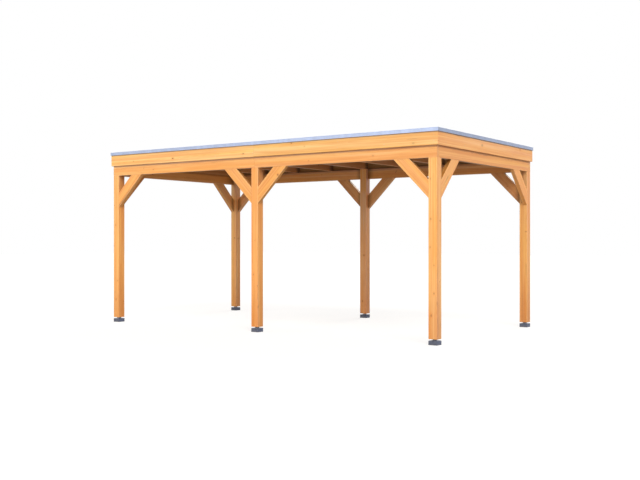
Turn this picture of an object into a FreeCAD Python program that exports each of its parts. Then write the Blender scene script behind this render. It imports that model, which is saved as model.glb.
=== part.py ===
import FreeCAD, Part
import math
import os

# A free-standing timber patio cover with a flat roof: six posts on adjustable feet,
# a ring of beams let into the post heads, knee braces, rafters, a boarded deck,
# a fascia all round and a metal roof-edge trim.
# Millimetres, +X along the long side, +Y to the back, +Z up.
# The origin is on the ground at the centre of the six feet.

# Frame, measured over the outer faces of the posts.
FRAME_LENGTH = 5800.0
FRAME_DEPTH = 3000.0
ARRIS = 3.0

# Adjustable feet.
FOOT_SIDE = 122.0
FOOT_HEIGHT = 55.0
FOOT_WALL = 5.0
FOOT_TOP_PLATE = 8.0
FOOT_EDGE = 2.5
BOSS_WALL = 9.0
SPINDLE_RADIUS = 15.0
SPINDLE_CLEARANCE = 0.3
SPINDLE_LIFT = 6.0
SPINDLE_ENTRY = 70.0
SPINDLE_POINT = 2.0
NUT_ACROSS_FLATS = 55.0
NUT_HEIGHT = 15.0
NUT_CHAMFER = 2.0
WASHER_RADIUS = 32.0
WASHER_THICKNESS = 4.0

# Posts, and the spare depth and width of the hole that takes the spindle.
POST_SIDE = 120.0
POST_BORE_CLEARANCE = 1.0
POST_BORE_SPARE = 15.0

# Ring beams, seated on the shoulders of the posts.
BEAM_UNDERSIDE = 2333.0
BEAM_HEIGHT = 167.0
BEAM_THICKNESS = 60.0
BUTT_GAP = 2.0

# Knee braces, measured along the post and along the beam.
BRACE_REACH = 502.0
BRACE_WIDTH = 160.0
BRACE_THICKNESS = 60.0

# Rafters across the depth, with the boarded deck and the roofing sheet on them.
RAFTER_BAYS = 8
RAFTER_HEIGHT = 140.0
RAFTER_THICKNESS = 60.0
DECK_THICKNESS = 18.0
ROOFING_THICKNESS = 2.0

# Fascia boards against the ends of the rafters and the outer faces of the beams.
FASCIA_HEIGHT = 171.0
FASCIA_THICKNESS = 25.0

# Roof-edge trim, an extruded section with a drip edge and a rolled top bead.
TRIM_HEIGHT = 47.0
TRIM_OVERHANG = 11.0
TRIM_DRIP = 3.0
TRIM_WALL = 2.0
TRIM_FLANGE = 60.0
BEAD_RADIUS = 4.0
BEAD_PROUD = 1.5

# Levels and half sizes that follow from the values above.
HALF_LENGTH = FRAME_LENGTH / 2
HALF_DEPTH = FRAME_DEPTH / 2
NUT_TOP = FOOT_HEIGHT + NUT_HEIGHT
POST_BOTTOM = NUT_TOP + WASHER_THICKNESS
BEAM_TOP = BEAM_UNDERSIDE + BEAM_HEIGHT
RAFTER_TOP = BEAM_TOP + RAFTER_HEIGHT
DECK_TOP = RAFTER_TOP + DECK_THICKNESS
ROOFING_TOP = DECK_TOP + ROOFING_THICKNESS
FASCIA_BOTTOM = DECK_TOP - FASCIA_HEIGHT
TRIM_BOTTOM = ROOFING_TOP - TRIM_DRIP
TRIM_TOP = TRIM_BOTTOM + TRIM_HEIGHT
TRIM_REACH = FASCIA_THICKNESS + TRIM_OVERHANG

Vector = FreeCAD.Vector
ALONG_X = Vector(1, 0, 0)
ALONG_Y = Vector(0, 1, 0)
UP = Vector(0, 0, 1)

ROWS = {"front": -1, "back": 1}
COLUMNS = {"left": -1, "middle": 0, "right": 1}
SIDES = {"left": -1, "right": 1}
QUARTER_TURNS = {"front": 0, "right": 90, "back": 180, "left": 270}


def block(x_span, y_span, z_span):
    """A square-edged block between three pairs of limits."""
    size = [span[1] - span[0] for span in (x_span, y_span, z_span)]
    return Part.makeBox(*size, Vector(x_span[0], y_span[0], z_span[0]))


def ease(timber, direction):
    """Bevel the long edges of a timber, those that run in one direction."""
    along = [e for e in timber.Edges if abs(e.tangentAt(e.FirstParameter).dot(direction)) > 0.999]
    return timber.makeChamfer(ARRIS, along)


def strip(side, half_size, depth):
    """The limits of a strip that lies inside one outer line of the frame."""
    limits = (side * half_size, side * (half_size - depth))
    return min(limits), max(limits)


def column_span(column):
    """The limits along X of the posts in one column."""
    if column == 0:
        return -POST_SIDE / 2, POST_SIDE / 2
    return strip(column, HALF_LENGTH, POST_SIDE)


def post_centre(column, row):
    """The centre of one post in plan, at ground level."""
    return Vector(sum(column_span(column)) / 2, row * (HALF_DEPTH - POST_SIDE / 2), 0)


def upright(radius, bottom, top):
    """A cylinder on the Z axis between two levels."""
    return Part.makeCylinder(radius, top - bottom, Vector(0, 0, bottom))


def make_foot():
    """A square steel shoe, open below, with a boss for the spindle."""
    half = FOOT_SIDE / 2
    inner = half - FOOT_WALL
    ceiling = FOOT_HEIGHT - FOOT_TOP_PLATE
    bore_radius = SPINDLE_RADIUS + SPINDLE_CLEARANCE
    shoe = block((-half, half), (-half, half), (0, FOOT_HEIGHT))
    outer_edges = [e for e in shoe.Edges if e.CenterOfMass.z > 0]
    shoe = shoe.makeChamfer(FOOT_EDGE, outer_edges)
    shoe = shoe.cut(block((-inner, inner), (-inner, inner), (0, ceiling)))
    shoe = shoe.fuse(upright(bore_radius + BOSS_WALL, 0, ceiling))
    return shoe.cut(upright(bore_radius, 0, FOOT_HEIGHT)).removeSplitter()


def make_nut():
    """A hexagon nut whose corners are turned off above and below."""
    corner_radius = NUT_ACROSS_FLATS / math.sqrt(3)
    corners = []
    for step in range(7):
        angle = math.radians(60 * step)
        corners.append(Vector(math.cos(angle), math.sin(angle), 0) * corner_radius)
    hexagon = Part.Face(Part.makePolygon(corners)).extrude(Vector(0, 0, NUT_HEIGHT))
    turned = upright(corner_radius, 0, NUT_HEIGHT)
    turned = turned.makeChamfer(NUT_CHAMFER, [e for e in turned.Edges if e.Curve.TypeId == "Part::GeomCircle"])
    return hexagon.common(turned).translated(Vector(0, 0, FOOT_HEIGHT))


def make_adjuster():
    """The spindle with its nut on the shoe and its washer under the post."""
    spindle = upright(SPINDLE_RADIUS, SPINDLE_LIFT, POST_BOTTOM + SPINDLE_ENTRY)
    rims = [e for e in spindle.Edges if e.Curve.TypeId == "Part::GeomCircle"]
    spindle = spindle.makeChamfer(SPINDLE_POINT, rims)
    washer = upright(WASHER_RADIUS, NUT_TOP, POST_BOTTOM)
    return spindle.fuse([make_nut(), washer]).removeSplitter()


def make_post(column, row):
    """A post with its head cut down to a tongue behind the beams that it carries."""
    x_span = column_span(column)
    y_span = strip(row, HALF_DEPTH, POST_SIDE)
    head = (BEAM_UNDERSIDE, BEAM_TOP)
    post = ease(block(x_span, y_span, (POST_BOTTOM, BEAM_TOP)), UP)
    post = post.cut(block(x_span, strip(row, HALF_DEPTH, BEAM_THICKNESS), head))
    if column != 0:
        post = post.cut(block(strip(column, HALF_LENGTH, BEAM_THICKNESS), y_span, head))
    bore_top = POST_BOTTOM + SPINDLE_ENTRY + POST_BORE_SPARE
    bore = upright(SPINDLE_RADIUS + POST_BORE_CLEARANCE, POST_BOTTOM, bore_top)
    return post.cut(bore.translated(post_centre(column, row)))


def make_long_beam(side, row):
    """Half of the front or back beam, from a corner to the butt joint on the middle post."""
    x_span = strip(side, HALF_LENGTH, HALF_LENGTH - BUTT_GAP / 2)
    y_span = strip(row, HALF_DEPTH, BEAM_THICKNESS)
    return ease(block(x_span, y_span, (BEAM_UNDERSIDE, BEAM_TOP)), ALONG_X)


def make_side_beam(side):
    """The beam of a short side, butted between the front and back beams."""
    half_span = HALF_DEPTH - BEAM_THICKNESS
    x_span = strip(side, HALF_LENGTH, BEAM_THICKNESS)
    return ease(block(x_span, (-half_span, half_span), (BEAM_UNDERSIDE, BEAM_TOP)), ALONG_Y)


def knee_brace():
    """A brace at 45 degrees from a post face to a beam underside, both ends bevel-cut."""
    thickness = (-BRACE_THICKNESS / 2, BRACE_THICKNESS / 2)
    width = (-BRACE_WIDTH / 2, BRACE_WIDTH / 2)
    brace = ease(block((-BRACE_REACH, BRACE_REACH), thickness, width), ALONG_X)
    brace.rotate(Vector(0, 0, 0), ALONG_Y, -45)
    inset = (BRACE_REACH - BRACE_WIDTH * math.sqrt(0.5)) / 2
    brace.translate(Vector(inset, 0, -inset))
    return brace.common(block((0, BRACE_REACH), thickness, (-BRACE_REACH, 0)))


def place_brace(x, y, turn):
    """Stand a brace at a post face, with its arm turned from +X about the vertical."""
    brace = knee_brace()
    brace.rotate(Vector(0, 0, 0), UP, turn)
    return brace.translated(Vector(x, y, BEAM_UNDERSIDE))


def long_side_braces():
    """The braces under the front and back beams, by node name."""
    braces = {}
    corner_face = HALF_LENGTH - POST_SIDE
    for row_name, row in ROWS.items():
        y = row * (HALF_DEPTH - BRACE_THICKNESS / 2)
        braces["brace_" + row_name + "_left"] = place_brace(-corner_face, y, 0)
        braces["brace_" + row_name + "_middle_left"] = place_brace(-POST_SIDE / 2, y, 180)
        braces["brace_" + row_name + "_middle_right"] = place_brace(POST_SIDE / 2, y, 0)
        braces["brace_" + row_name + "_right"] = place_brace(corner_face, y, 180)
    return braces


def short_side_braces():
    """The braces under the two side beams, by node name."""
    braces = {}
    corner_face = HALF_DEPTH - POST_SIDE
    for side_name, side in SIDES.items():
        x = side * (HALF_LENGTH - BRACE_THICKNESS / 2)
        braces["brace_" + side_name + "_side_front"] = place_brace(x, -corner_face, 90)
        braces["brace_" + side_name + "_side_back"] = place_brace(x, corner_face, 270)
    return braces


def make_rafters():
    """The row of rafters on the beams, the outer two over the side beams."""
    first = -(HALF_LENGTH - RAFTER_THICKNESS / 2)
    spacing = -2 * first / RAFTER_BAYS
    rafters = []
    for number in range(RAFTER_BAYS + 1):
        x = first + number * spacing
        x_span = (x - RAFTER_THICKNESS / 2, x + RAFTER_THICKNESS / 2)
        rafters.append(ease(block(x_span, (-HALF_DEPTH, HALF_DEPTH), (BEAM_TOP, RAFTER_TOP)), ALONG_Y))
    return Part.makeCompound(rafters)


def make_sheet(overhang, bottom, top):
    """A level sheet over the whole frame, carried past the post faces by an overhang."""
    half_x = HALF_LENGTH + overhang
    half_y = HALF_DEPTH + overhang
    return block((-half_x, half_x), (-half_y, half_y), (bottom, top))


def fascia_profile():
    """The fascia's section, drawn outwards along -Y, with its lower outer edge eased."""
    corners = [Vector(0, 0, FASCIA_BOTTOM), Vector(0, 0, DECK_TOP)]
    corners += [Vector(0, -FASCIA_THICKNESS, DECK_TOP), Vector(0, -FASCIA_THICKNESS, FASCIA_BOTTOM + ARRIS)]
    middle = ARRIS * (1 - math.sqrt(0.5))
    bulge = Vector(0, middle - FASCIA_THICKNESS, FASCIA_BOTTOM + middle)
    arris_end = Vector(0, ARRIS - FASCIA_THICKNESS, FASCIA_BOTTOM)
    edges = [Part.LineSegment(a, b).toShape() for a, b in zip(corners, corners[1:])]
    edges.append(Part.Arc(corners[-1], bulge, arris_end).toShape())
    edges.append(Part.LineSegment(arris_end, corners[0]).toShape())
    return Part.Face(Part.Wire(edges))


def trim_profile():
    """The trim's section: a flange on the roofing, an upright face and a rolled bead."""
    outer = TRIM_REACH - BEAD_PROUD
    inner = outer - TRIM_WALL
    bead_y = TRIM_REACH - BEAD_RADIUS
    bead_z = TRIM_TOP - BEAD_RADIUS
    outer_neck = bead_z - math.sqrt(BEAD_RADIUS ** 2 - (outer - bead_y) ** 2)
    inner_neck = bead_z - math.sqrt(BEAD_RADIUS ** 2 - (inner - bead_y) ** 2)
    flange_end = FASCIA_THICKNESS - TRIM_FLANGE
    flange_top = ROOFING_TOP + TRIM_WALL
    path = [(inner, inner_neck), (inner, flange_top), (flange_end, flange_top), (flange_end, ROOFING_TOP)]
    path += [(inner, ROOFING_TOP), (inner, TRIM_BOTTOM), (outer, TRIM_BOTTOM), (outer, outer_neck)]
    points = [Vector(0, -out, level) for out, level in path]
    edges = [Part.LineSegment(a, b).toShape() for a, b in zip(points, points[1:])]
    edges.append(Part.Arc(points[-1], Vector(0, -bead_y, TRIM_TOP), points[0]).toShape())
    return Part.Face(Part.Wire(edges))


def edge_run(profile, side_name, inboard, outboard):
    """Run a roof-edge section along one side and mitre both of its ends at 45 degrees."""
    turn = QUARTER_TURNS[side_name]
    half_run, half_across = HALF_LENGTH, HALF_DEPTH
    if side_name in SIDES:
        half_run, half_across = HALF_DEPTH, HALF_LENGTH
    start = Vector(-half_run - outboard, -half_across, 0)
    run = profile.translated(start).extrude(Vector(2 * (half_run + outboard), 0, 0))
    outline = [Vector(-half_run - outboard, -half_across - outboard, FASCIA_BOTTOM)]
    outline.append(Vector(half_run + outboard, -half_across - outboard, FASCIA_BOTTOM))
    outline.append(Vector(half_run - inboard, inboard - half_across, FASCIA_BOTTOM))
    outline.append(Vector(inboard - half_run, inboard - half_across, FASCIA_BOTTOM))
    plan = Part.Face(Part.makePolygon(outline + outline[:1]))
    mitred = run.common(plan.extrude(Vector(0, 0, TRIM_TOP - FASCIA_BOTTOM)))
    mitred.rotate(Vector(0, 0, 0), UP, turn)
    return mitred


def make_fascia(side_name):
    """One side's fascia, mitred at both corners."""
    return edge_run(fascia_profile(), side_name, 0, FASCIA_THICKNESS)


def halve_fascia(fascia, side):
    """The left or right length of a long fascia, cut at the middle post."""
    half_reach = HALF_LENGTH + FASCIA_THICKNESS
    x_span = strip(side, half_reach, half_reach - BUTT_GAP / 2)
    y_span = (-HALF_DEPTH - FASCIA_THICKNESS, HALF_DEPTH + FASCIA_THICKNESS)
    return fascia.common(block(x_span, y_span, (FASCIA_BOTTOM, DECK_TOP)))


def make_trim(side_name):
    """One side's roof-edge trim, mitred at both corners."""
    return edge_run(trim_profile(), side_name, TRIM_FLANGE - FASCIA_THICKNESS, TRIM_REACH)


def frame_pieces():
    """Feet, posts and beams, by node name."""
    pieces = {}
    adjusters = []
    for row_name, row in ROWS.items():
        for column_name, column in COLUMNS.items():
            place = row_name + "_" + column_name
            centre = post_centre(column, row)
            pieces["foot_" + place] = make_foot().translated(centre)
            pieces["post_" + place] = make_post(column, row)
            adjusters.append(make_adjuster().translated(centre))
        for side_name, side in SIDES.items():
            pieces["beam_" + row_name + "_" + side_name] = make_long_beam(side, row)
    for side_name, side in SIDES.items():
        pieces["beam_" + side_name + "_side"] = make_side_beam(side)
    pieces["foot_adjusters"] = Part.makeCompound(adjusters)
    return pieces


def roof_pieces():
    """Rafters, deck, roofing, fascia and trim, by node name."""
    pieces = {"rafters": make_rafters()}
    pieces["roof_deck"] = make_sheet(0, RAFTER_TOP, DECK_TOP)
    pieces["roofing_sheet"] = make_sheet(FASCIA_THICKNESS, DECK_TOP, ROOFING_TOP)
    for row_name in ROWS:
        fascia = make_fascia(row_name)
        for side_name, side in SIDES.items():
            pieces["fascia_" + row_name + "_" + side_name] = halve_fascia(fascia, side)
    for side_name in SIDES:
        pieces["fascia_" + side_name + "_side"] = make_fascia(side_name)
    for side_name in QUARTER_TURNS:
        pieces["edge_trim_" + side_name] = make_trim(side_name)
    return pieces


def main():
    """Build every piece and write it to its own file."""
    pieces = frame_pieces()
    pieces.update(long_side_braces())
    pieces.update(short_side_braces())
    pieces.update(roof_pieces())
    os.makedirs("parts", exist_ok=True)
    for name, shape in pieces.items():
        shape.exportStep("parts/" + name + ".step")


main()
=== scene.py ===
import math
import random

import bmesh
import bpy
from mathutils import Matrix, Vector, noise


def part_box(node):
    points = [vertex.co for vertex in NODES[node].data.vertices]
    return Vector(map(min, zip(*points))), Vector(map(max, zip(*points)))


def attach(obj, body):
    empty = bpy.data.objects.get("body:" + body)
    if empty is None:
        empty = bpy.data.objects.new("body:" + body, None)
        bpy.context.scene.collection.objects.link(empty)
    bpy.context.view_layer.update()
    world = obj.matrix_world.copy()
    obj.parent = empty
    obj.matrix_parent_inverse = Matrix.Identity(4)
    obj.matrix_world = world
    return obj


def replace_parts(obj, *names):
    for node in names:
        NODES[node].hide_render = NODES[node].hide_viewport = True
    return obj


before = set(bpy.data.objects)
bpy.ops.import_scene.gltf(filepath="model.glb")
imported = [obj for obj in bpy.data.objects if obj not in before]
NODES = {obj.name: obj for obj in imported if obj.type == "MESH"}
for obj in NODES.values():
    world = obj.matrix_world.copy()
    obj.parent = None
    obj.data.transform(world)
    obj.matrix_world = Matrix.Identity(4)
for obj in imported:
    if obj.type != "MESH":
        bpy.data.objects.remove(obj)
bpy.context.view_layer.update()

# The photograph's view: a level camera to the right of the front.
CAMERA_PLACE = (8.16865, -11.54885, 1.30736)
CAMERA_TURN = 34.9927
LENS = 51.1834
SENSOR_WIDTH = 36.0

# Main directions of the timbers.
ALONG_X = Vector((1, 0, 0))
ALONG_Y = Vector((0, 1, 0))
UP = Vector((0, 0, 1))

# Values by axis have the long sides, along X, first and the short sides second.
RUNS = (ALONG_X, ALONG_Y)

# Roof boards: their number, gap at the face, vee, tongue and groove.
BOARD_COUNT = 25
BOARD_GAP = 0.0008
BOARD_VEE = 0.003
TONGUE_REACH = 0.005
GROOVE_DEPTH = 0.006
TONGUE_BAND = (0.0062, 0.0118)

# The row of rafters, the rafters over which the boards of each row butt, and the gap there.
RAFTER_FIRST = -2.870
RAFTER_SPACING = 0.7175
RAFTER_COUNT = 9
BOARD_JOINTS = ((3,), (5,), (2, 6), (4,), (3, 7), (5,))
JOINT_GAP = 0.0006

# Roofing: a rubber sheet in widths across the depth, each lapped over the one before, with slight ripples.
# A ripple has its waves per metre along and across, its place in the noise and its share of the height.
LAP_PLACES = (-1.46, 0.02, 1.50)
LAP_WIDTH = 0.06
LAP_HEIGHT = 0.0014
RIPPLE_HEIGHT = 0.0012
RIPPLES = ((1.3, 1.7, 0.0, 1.0), (4.0, 2.6, 5.0, 0.6))
ROOFING_EDGE = 0.09
ROOFING_FADE = 0.12
ROOFING_STEP = 0.06
LAP_SLOPE = ROOFING_STEP / 40

# Screws: a head's sides, lobes and rings (reach, level and lobe height in radii), and the places of the rows.
HEAD_SIDES = 24
RECESS_LOBES = 6
HEAD_RINGS = ((0.45, -0.6, 0), (1.0, 0, 0), (0.94, 0.10, 0), (0.5, 0.16, 0.16), (0.46, -0.3, 0.16))
FASCIA_SCREW_RADIUS = 0.004
FASCIA_SCREW_LEVELS = (2.535, 2.615)
SIDE_SCREW_SPACING = 0.52
SIDE_SCREW_COUNT = 6
BUTT_OFFSET = 0.014
BRACE_SCREW_RADIUS = 0.006
BRACE_SCREW_STEPS = ((0.10, -0.012), (0.15, 0.012), (0.85, -0.012), (0.90, 0.012))
TRIM_SCREW_RADIUS = 0.0035
TRIM_SCREW_SPACING = 0.3
TRIM_SCREW_COUNTS = (20, 10)
TRIM_SCREW_INSET = 0.056
FLANGE_TOP = 2.662

# Pale and dark wood of each kind of timber, in linear light, and by axis for the fascia.
# The fascia's side boards are darker than its front ones: painted shade on the sides.
FASCIA_TONES = (((0.98, 0.62, 0.225), (0.87, 0.43, 0.125)), ((0.98, 0.54, 0.205), (0.86, 0.37, 0.11)))
BEAM_TONE = ((0.97, 0.51, 0.17), (0.85, 0.355, 0.092))
POST_TONE = ((0.97, 0.52, 0.165), (0.84, 0.35, 0.085))
# The rafters and roof boards are darker than the other timbers: painted shade under the roof.
RAFTER_TONE = ((0.68, 0.345, 0.145), (0.58, 0.24, 0.085))
DECK_TONE = ((0.45, 0.26, 0.12), (0.34, 0.18, 0.075))

# Knots of each kind of timber, as the share of cells that hold one.
KNOT_SHARES = {"post": 0.2, "beam": 0.18, "fascia": 0.04, "brace": 0.25, "rafters": 0.25, "boards": 0.3}

# How far the pith lies from the middle of each kind, across and in depth.
PITHS = {"post": (0.012, 0.02), "beam": (0.05, 0.03), "fascia": (0.07, 0.03), "brace": (0.05, 0.03),
         "rafters": (0.03, 0.05), "boards": (0.05, 0.05)}

# How a timber is cut from its log: greatest slope of grain, reach along the log, change of tone,
# the range in which the draws of a row start, and the growth rings in a metre.
GRAIN_SLOPE = 0.008
LOG_REACH = 40
TONE_SHIFT = 0.04
ROW_REACH = 50
RINGS_PER_METRE = 240.0

# Single timbers that stand out from their kind.
OWN_TONES = {
    "post_front_left": ((0.97, 0.51, 0.145), (0.84, 0.345, 0.075)),
    "post_front_middle": ((0.97, 0.465, 0.13), (0.84, 0.31, 0.067)),
    "post_front_right": ((0.98, 0.57, 0.20), (0.87, 0.39, 0.105)),
    # The two back posts are paler than their kind: painted light where the roof shades them.
    "post_back_middle": ((1.0, 0.545, 0.225), (0.95, 0.415, 0.122)),
    "post_back_left": ((1.0, 0.54, 0.18), (0.92, 0.38, 0.095)),
    "beam_front_left": ((0.98, 0.56, 0.20), (0.88, 0.39, 0.108)),
    "beam_right_side": ((0.96, 0.485, 0.145), (0.84, 0.335, 0.08)),
}

# Posts whose left and right faces differ in colour from the front: painted light on the sides.
SIDE_LIGHT_FACTORS = {"post_front_middle": (0.95, 1.06, 1.10), "post_front_right": (0.97, 0.95, 0.92)}

# Posts whose head differs in colour from the others, in front: painted light.
HEAD_LIGHT_FACTORS = {"post_back_middle": (1.20, 1.02, 0.56)}

# Posts whose upper half differs in colour from the lower one: painted light.
HIGH_LIGHT_FACTORS = {"post_back_middle": (1.0, 1.08, 1.22), "post_back_right": (0.99, 0.96, 1.06)}

# Knots that stand out: place along the timber and across it, half width, and how dark they are.
KNOTS = {
    "post_front_left": ((1.543, -2.851, 0.011, 0.35), (1.218, -2.888, 0.009, 0.3),
                        (0.66, -2.812, 0.008, 0.45), (0.36, -2.846, 0.011, 0.45)),
    "post_front_middle": ((1.3, 0.005, 0.008, 0.25), (0.818, -0.018, 0.009, 0.35),
                          (0.66, 0.055, 0.008, 0.5)),
    "post_front_right": ((2.068, 2.809, 0.008, 0.3), (1.568, 2.814, 0.010, 0.4),
                         (1.218, 2.804, 0.009, 0.35), (0.993, 2.859, 0.008, 0.35),
                         (0.643, 2.859, 0.009, 0.45), (0.368, 2.82, 0.012, 0.45)),
    "fascia_front_left": ((-1.575, 2.545, 0.010, 0.9), (-0.19, 2.541, 0.009, 0.65),
                          (-2.425, 2.544, 0.006, 0.45)),
    "fascia_front_right": ((0.67, 2.637, 0.007, 0.7), (0.89, 2.584, 0.006, 0.45),
                           (2.58, 2.52, 0.014, 0.25)),
    "fascia_right_side": ((-0.245, 2.584, 0.020, 0.32), (1.055, 2.63, 0.012, 0.5)),
    "beam_front_left": ((-2.01, 2.396, 0.009, 0.35),),
    "beam_front_right": ((0.944, 2.386, 0.006, 0.4), (1.97, 2.402, 0.012, 0.25)),
}

# How those knots look: drawn out along the grain, ragged, with a stain and a heart as bands in half widths.
MARK_RUN = 0.6
MARK_RAGGED = 0.8
MARK_STAIN = (1.2, 3.6)
MARK_STAIN_SHARE = 0.7
MARK_HEART = (1.0, 1.5)

# Where painted light and shade and changes of tone begin and end: heights, and for the rafters the depth from
# the middle.
POST_LOW_BAND = (0.0, 1.0)
POST_HIGH_BAND = (1.1, 1.8)
POST_UPPER_BAND = (1.3, 1.7)
POST_HEAD_BAND = (2.06, 2.16)
BRACE_TOP_BAND = (2.2, 2.3)
BEAM_FOOT_BAND = (2.34, 2.37)
BEAM_TOP_BAND = (2.385, 2.425)
BEAM_SHADOW_BAND = (2.458, 2.476)
FASCIA_LOW_BAND = (2.485, 2.53)
FASCIA_SHADOW_BAND = (2.636, 2.652)
RAFTER_END_BAND = (1.36, 1.45)

# How far the painted shade in a corner reaches from the post, by axis for the beams.
BEAM_CORNER = (0.13, 0.24)
BRACE_CORNER = 0.11

# What stains, wear, painted light and shade, and changes of tone multiply the wood by, in linear light; the
# painted shadow lines are by axis.
UNCHANGED = (1.0, 1.0, 1.0)
# The next five are painted: shade low on the posts, and light on their sides and higher up in front.
POST_LOW_SHADE = (0.84, 0.76, 0.74)
POST_SIDE_LOW = (1.0, 1.0, 1.12)
POST_SIDE_HIGH = (1.0, 0.94, 0.96)
POST_SIDE_FOOT_LIGHT = (1.0, 1.02, 1.12)
POST_FRONT_HIGH = (1.0, 1.08, 1.18)
# Painted shade on the inner faces of the post heads, between the braces.
POST_HEAD = (0.82, 0.86, 1.06)
# Painted shadow under the fascia, by axis.
BEAM_SHADOW_LINE = ((0.72, 0.75, 1.02), (0.60, 0.55, 0.46))
LONG_BEAM_TOP = (1.0, 1.05, 1.22)
LONG_BEAM_FOOT = (1.0, 1.02, 1.08)
# Painted shade on the beams' undersides; the next darkens their tops.
BEAM_UNDERSIDE = (0.66, 0.66, 0.72)
BEAM_TOP = (0.48, 0.50, 0.55)
# Painted shade in the corners by the posts.
BEAM_CORNER_SHADE = (0.42, 0.44, 0.42)
# Painted shade on the braces: a bluer tint at the back, on their upper sides, most under the beam, and in the
# corners by the posts.
BACK_BRACE_SHADE = (0.95, 0.97, 1.18)
BRACE_UPPER_SHADE = (0.50, 0.46, 0.36)
BRACE_TOP_SHADE = (0.60, 0.60, 0.55)
BRACE_CORNER_SHADE = (0.44, 0.44, 0.36)
# Painted shadow under the trim, by axis.
FASCIA_SHADOW_LINE = ((0.60, 0.68, 0.88), (0.48, 0.56, 0.78))
# Painted shade on the inner faces of the fascia, darkest low down.
FASCIA_INSIDE = (0.52, 0.52, 0.58)
FASCIA_INSIDE_LOW = (0.30, 0.32, 0.36)
# Painted shade at the rafter ends over the beams.
RAFTER_END = (0.45, 0.52, 0.62)
# Painted shade in the vees between the roof boards.
VEE_SHADE = (0.46, 0.4, 0.34)
KNOT_STAIN = (0.92, 0.66, 0.48)
KNOT_HALO = (0.84, 0.62, 0.45)
WARM_WOOD = (1.0, 0.985, 0.90)
PINK_WOOD = (1.0, 1.005, 1.16)
SAWN_END = (0.90, 0.82, 0.80)

# Colours of knots, cracks and rubbed edges, in linear light; the rubbed edges are wear and a painted
# highlight.
HEART_DARK = (0.22, 0.085, 0.028)
HEART_PALE = (0.55, 0.25, 0.08)
HEART_RING = (0.58, 0.27, 0.09)
MARKED_HEART = (0.24, 0.10, 0.04)
CRACK = (0.20, 0.08, 0.03)
RUBBED_WOOD_HIGHLIGHT = (0.98, 0.68, 0.42)

# Knots drawn at random: cells in a metre along the log, cells around it, least half width and what is added.
KNOT_ALONG = 2.6
KNOT_AROUND = 0.9
KNOT_SIZES = (0.0045, 0.010)

# Shoes and adjusters: coatings, dust and rubbed zinc in linear light, and the painted bluish light that the
# sides of the shoes are multiplied by.
SHOE_COAT = (0.105, 0.122, 0.178)
SHOE_DUST = (0.22, 0.20, 0.18)
SHOE_SIDE_LIGHT = (1.04, 1.14, 1.32)
ADJUSTER_COAT = (0.33, 0.38, 0.50)
RUBBED_ZINC = (0.50, 0.54, 0.60)

# Trim: coating by axis, the sides darker as painted shade, and a painted reflection that brightens it from a
# place on the left to one on the right.
TRIM_COAT = ((0.475, 0.577, 0.84), (0.348, 0.424, 0.62))
TRIM_REFLECTION_FADE = (-3.0, 3.0, 0.89, 1.12)

# Roofing and screws, in linear light.
RUBBER = (0.034, 0.035, 0.038)
RUBBER_DUST = (0.17, 0.16, 0.145)
STAINLESS = (0.60, 0.60, 0.61)
YELLOW_ZINC = (0.62, 0.47, 0.25)

# Brightness and tint of the soft sky and colour of the floor, as the object meets them.
HORIZON_LIGHT = 0.64
ZENITH_LIGHT = 0.40
SKY_TINT = (1.0, 0.98, 0.98)
SKY_FADE = 2.2
WHITE = (1.0, 1.0, 1.0)
LAMP_TINT = (1.0, 0.93, 0.82)
FLOOR_COLOUR = (0.36, 0.36, 0.36)

# The floor as the camera sees it: even white, what its shadows take from it, and its reach from the middle.
FLOOR_WHITE = 0.76
SHADOW_SHARE = (0.28, 0.28, 0.28)
FLOOR_REACH = 60.0

# Lamps: name, strength, turn from the front towards the right, elevation and spread in degrees.
LAMPS = (
    ("key_left", 0.67, -40, 38, 30),
    ("key_right", 1.98, 47, 38, 30),
    ("front_fill", 0.72, 20, 10, 40),
    ("back_light", 1.37, 180, 40, 30),
)

# Sockets of the node group that draws planed softwood.
TIMBER_INPUTS = (("Vector", "Vector"), ("Normal", "Vector"), ("Light", "Color"), ("Dark", "Color"),
                 ("Knots", "Float"))
TIMBER_OUTPUTS = (("Color", "Color"), ("Roughness", "Float"), ("Height", "Float"))


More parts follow.
